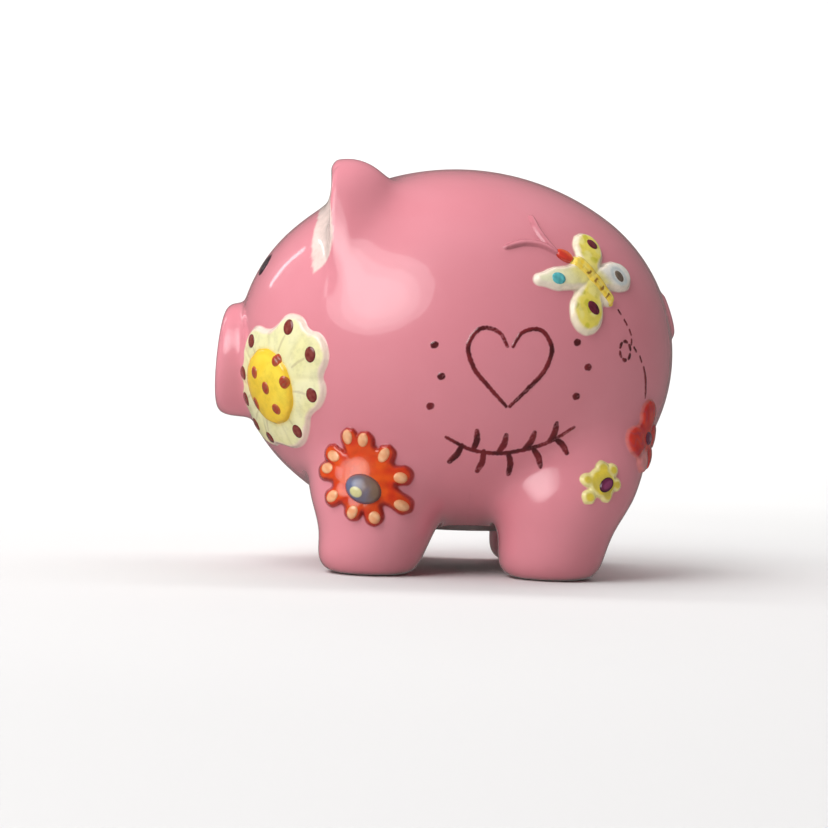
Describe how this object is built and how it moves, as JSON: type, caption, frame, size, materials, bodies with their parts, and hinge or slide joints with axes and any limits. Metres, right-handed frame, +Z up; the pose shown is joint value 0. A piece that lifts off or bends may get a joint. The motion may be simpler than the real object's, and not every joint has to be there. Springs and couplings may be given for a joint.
{
  "type": "piggy bank",
  "caption": "Round glazed ceramic piggy bank with a coin slot in its back, relief flower and butterfly sprigs, four stub legs and a pull-out belly stopper.",
  "frame": {"origin": "centre of the bounding box at table height, under the feet", "axes": "the pig faces -Y, +Z is up, +X is the pig's left flank with the decoration"},
  "size_m": [0.0907, 0.1136, 0.0983],
  "materials": {
    "pink_glaze": "glossy",
    "cream_glaze": "glossy",
    "yellow_glaze": "glossy",
    "orange_glaze": "glossy",
    "slate_glaze": "glossy",
    "maroon_glaze": "glossy",
    "peach_glaze": "glossy",
    "red_glaze": "glossy",
    "lemon_glaze": "glossy",
    "black_glaze": "glossy",
    "stopper_rubber": "matte"
  },
  "bodies": {
    "body": {"body_shell": "pink_glaze", "snout": "pink_glaze", "ear_left": "pink_glaze", "ear_right": "pink_glaze", "leg_front_left": "pink_glaze", "leg_front_right": "pink_glaze", "leg_rear_left": "pink_glaze", "leg_rear_right": "pink_glaze", "tail": "pink_glaze", "eyes": "black_glaze", "cheek_petals_left": "cream_glaze", "cheek_centre_left": "yellow_glaze", "cheek_dots_left": "maroon_glaze", "cheek_petals_right": "cream_glaze", "cheek_centre_right": "yellow_glaze", "cheek_dots_right": "maroon_glaze", "orange_petals": "orange_glaze", "orange_bead": "slate_glaze", "orange_dots": "peach_glaze", "red_petals": "red_glaze", "red_centre": "slate_glaze", "yellow_petals": "lemon_glaze", "yellow_centre": "maroon_glaze", "butterfly_wings": "lemon_glaze", "butterfly_body": "yellow_glaze", "butterfly_feelers": "pink_glaze", "butterfly_spots": "maroon_glaze", "flight_trail": "maroon_glaze", "brush_motif": "maroon_glaze"},
    "stopper": {"stopper": "stopper_rubber"}
  },
  "joints": [
    {"name": "stopper_pull", "type": "slide", "parent": "body", "child": "stopper", "axis": [0, 0, -1], "range_m": [0, 0.03]}
  ]
}
